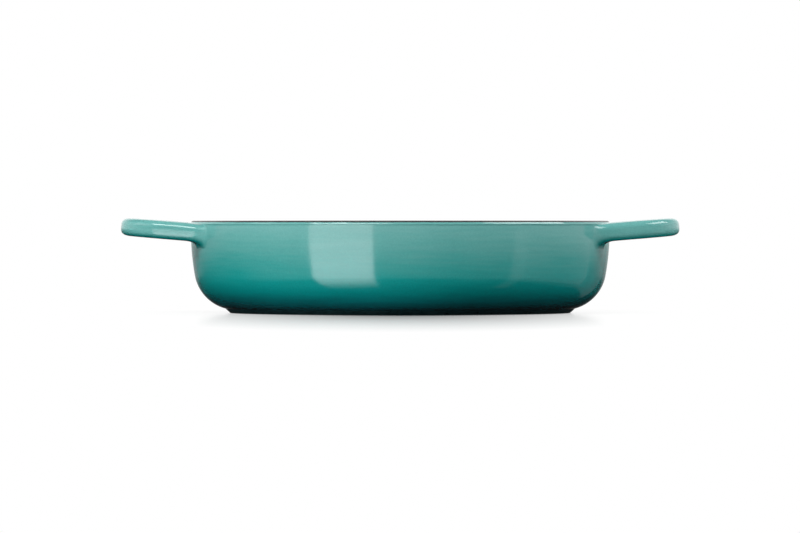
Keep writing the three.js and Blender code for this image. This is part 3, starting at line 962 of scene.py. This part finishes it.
oval = add_node(tree, "CombineXYZ", {"X": aside, "Y": depth}).outputs["Vector"]
outward = add_node(tree, "VectorMath", {0: oval}, operation="LENGTH").outputs["Value"]
far = add_node(
    tree, "MapRange", {"Value": outward, "From Min": SHADOW_BEGINS, "From Max": SHADOW_ENDS}
).outputs["Result"]
seen = add_node(tree, "LightPath").outputs["Is Camera Ray"]
blank = add_node(tree, "Math", {0: far, 1: seen}, operation="MULTIPLY").outputs["Value"]
print("in front of the pan the shadow fades out at", round(SHADOW_ENDS / SHADOW_AHEAD, 2), "m")

# %% Light from the table
# A painted pool of light: for rays other than the camera's, the table's grey is paler left of the pan
# and darker right of it.
PAINTED_BOUNCE = (0.0, "#7c7c7c"), (0.2, "#cccccc"), (0.42, "#d0d0d0"), (0.68, "#747474"), (1.0, "#7c7c7c")
BOUNCE_HALF = 0.15
NEAR_ENDS, NEAR_FULL = 0.2, 0.15
WHITE = linear("#ffffff")
across = add_node(
    tree, "MapRange", {"Value": spot["X"], "From Min": -BOUNCE_HALF, "From Max": BOUNCE_HALF}
).outputs["Result"]
painted_bounce = add_node(tree, "ValToRGB", {"Fac": across}, [(stop, linear(code)) for stop, code in PAINTED_BOUNCE])
from_pan = add_node(tree, "VectorMath", {0: place}, operation="LENGTH").outputs["Value"]
near = add_node(
    tree, "MapRange", {"Value": from_pan, "From Min": NEAR_ENDS, "From Max": NEAR_FULL}
).outputs["Result"]
table = add_node(
    tree,
    "Mix",
    {FACTOR: near, COLOUR_A: linear("#b0b0b0"), COLOUR_B: painted_bounce.outputs["Color"]},
    data_type="RGBA",
).outputs[MIXED_COLOUR]
tone = add_node(tree, "Mix", {FACTOR: seen, COLOUR_A: table, COLOUR_B: WHITE}, data_type="RGBA")
tree.links.new(tone.outputs[MIXED_COLOUR], shader.inputs["Base Color"])
paper = add_node(tree, "Emission", {"Color": WHITE, "Strength": 1.0}).outputs["Emission"]
top = add_node(tree, "MixShader", {0: blank, 1: shader.outputs["BSDF"], 2: paper})
tree.links.new(top.outputs["Shader"], tree.nodes["Material Output"].inputs["Surface"])
floor_mesh.materials.append(white)
print(white.name, "has", len(tree.nodes), "nodes")

# %% [markdown]
# ## Lamps
#
# A gloss wall draws every lamp as a shape. A tall soft lamp stands front left, and its picture is the
# pale upright band. A second one on the right touches the lip and the handles. Below the lip the wall
# leans down, so what it shows there is the lamps as the table mirrors them. A mirror table could do
# that, but then its picture of the pan would show too. So panels under the table stand for the mirrored
# lamps. Several hang one behind the other with lower edges at different depths, which lets the band
# fade out downwards. Lamps in one plane would hide each other, so each is 2 mm further away.

# %% Lamps
LAMP_DISTANCE = 2.0
PAN_MIDDLE = 0.04
PANEL_GAP = 2 * MM


def add_panel(name, azimuth, away, rise, tilt, width, height, radiance):
    """A soft panel at an angle round from the front, so far away, so high over the pan's middle, and
    tilted down. Its power is its radiance times pi times its area."""
    lamp = bpy.data.lights.new(name, "AREA")
    lamp.shape = "RECTANGLE"
    lamp.size = width
    lamp.size_y = height
    lamp.energy = radiance * math.pi * width * height
    panel = bpy.data.objects.new(name, lamp)
    scene.collection.objects.link(panel)
    angle = math.radians(azimuth)
    panel.location = (away * math.sin(angle), -away * math.cos(angle), PAN_MIDDLE + rise)
    panel.rotation_euler = (math.pi / 2 - math.radians(tilt), 0, angle)
    panel.visible_camera = False
    print(name, "gives", round(lamp.energy, 1), "W")


# Each row: name, azimuth in degrees, width, top and bottom in metres, radiance.
MIRRORED_LAMPS = (
    ("left_low_deepest", -31.8, 1.27, 0.18, -2.143, 0.65),
    ("left_low_deeper", -31.8, 1.27, 0.18, -1.761, 0.75),
    ("left_low_deep", -31.8, 1.27, 0.18, -1.44, 1.3),
    ("left_low_middle", -31.8, 1.27, -0.12, -1.115, 1.0),
    ("left_low_shallow", -31.8, 1.27, -0.37, -0.768, 0.9),
    ("right_low_edge", 67.5, 0.30, 0.04, -1.75, 0.22),
    ("right_low_deep", 95, 2.45, 0.04, -1.0, 0.1),
    ("right_low_shallow", 95, 2.45, 0.04, -0.8, 0.2),
    ("right_low_back", 138, 1.0, 0.04, -0.85, 0.13),
)
for order, (name, azimuth, width, top, bottom, radiance) in enumerate(MIRRORED_LAMPS):
    away = LAMP_DISTANCE + PANEL_GAP * order
    rise = (top + bottom) / 2 - PAN_MIDDLE
    add_panel(name, azimuth, away, rise, 0, width, top - bottom, radiance)

# Each row: name, azimuth and elevation in degrees, width and height in metres, radiance.
HIGH_LAMPS = (
    ("left_soft_high", -31.5, 40, 1.34, 0.6, 11.0),
    ("left_side", -76, 27, 1.3, 0.9, 1.5),
    ("right_soft_high", 86, 40, 1.5, 0.8, 5.8),
)
for name, azimuth, elevation, width, height, radiance in HIGH_LAMPS:
    away = LAMP_DISTANCE * math.cos(math.radians(elevation))
    rise = LAMP_DISTANCE * math.sin(math.radians(elevation))
    add_panel(name, azimuth, away, rise, elevation, width, height, radiance)

# %% [markdown]
# ## The room
#
# The walls of the studio fill in what the lamps leave. They are bright at eye level and dark under the
# table, which is why the lower wall stays deep in colour, and the front is dimmer on the right. A
# panorama image could hold all this. Two grey ramps from straight down to straight up, one for the
# front and one for the back, are easier to tune. The camera itself sees plain white.

# %% Room
# Each pair: the place between straight down (0) and straight up (1), and the brightness there.
FRONT_ROOM = (
    (0.0, 0.02), (0.27, 0.02), (0.30, 0.25), (0.33, 0.5), (0.40, 0.7),
    (0.50, 0.9), (0.55, 0.3), (0.67, 0.25), (0.82, 0.12), (1.0, 0.12),
)
BACK_ROOM = (
    (0.0, 0.018), (0.2, 0.012), (0.38, 0.008), (0.44, 0.04), (0.495, 0.45),
    (0.512, 1.1), (0.67, 1.1), (0.82, 0.12), (1.0, 0.12),
)
FRONT_BEGINS, FRONT_FULL = 0.2, -0.4
DIM_BEGINS, DIM_FULL, DIM_SHARE = 0.1, 0.5, 0.5
world = bpy.data.worlds.new("white studio")
scene.world = world
world.use_nodes = True
tree = world.node_tree
tree.nodes.clear()
sight = add_node(tree, "TexCoord").outputs["Generated"]
direction = add_node(tree, "SeparateXYZ", {"Vector": sight}).outputs
upward = add_node(tree, "MapRange", {"Value": direction["Z"], "From Min": -1.0}).outputs["Result"]
forward = add_node(
    tree, "MapRange", {"Value": direction["Y"], "From Min": FRONT_BEGINS, "From Max": FRONT_FULL}
).outputs["Result"]
front, back = (
    add_node(tree, "ValToRGB", {"Fac": upward}, [(stop, (v, v, v, 1.0)) for stop, v in room])
    for room in (FRONT_ROOM, BACK_ROOM)
)
dim = add_node(
    tree,
    "MapRange",
    {
        "Value": direction["X"],
        "From Min": DIM_BEGINS,
        "From Max": DIM_FULL,
        "To Min": 1.0,
        "To Max": DIM_SHARE,
    },
).outputs["Result"]
dimmed = add_node(
    tree,
    "Mix",
    {FACTOR: 1.0, COLOUR_A: front.outputs["Color"], COLOUR_B: dim},
    data_type="RGBA",
    blend_type="MULTIPLY",
).outputs[MIXED_COLOUR]
walls = add_node(
    tree,
    "Mix",
    {FACTOR: forward, COLOUR_A: back.outputs["Color"], COLOUR_B: dimmed},
    data_type="RGBA",
).outputs[MIXED_COLOUR]
seen = add_node(tree, "LightPath").outputs["Is Camera Ray"]
studio = add_node(tree, "Mix", {FACTOR: seen, COLOUR_A: walls, COLOUR_B: WHITE}, data_type="RGBA")
background = add_node(tree, "Background", {"Color": studio.outputs[MIXED_COLOUR], "Strength": 1.0})
add_node(tree, "OutputWorld", {"Surface": background.outputs["Background"]})
print(world.name, "has", len(tree.nodes), "nodes")

# %% [markdown]
# ## Sizes
#
# A coat that is drawn too thick or in the wrong place would make the pan grow. The size of each solid
# was printed at the start, and the box round the dressed pan is measured here.

# %% Sizes
low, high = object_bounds()
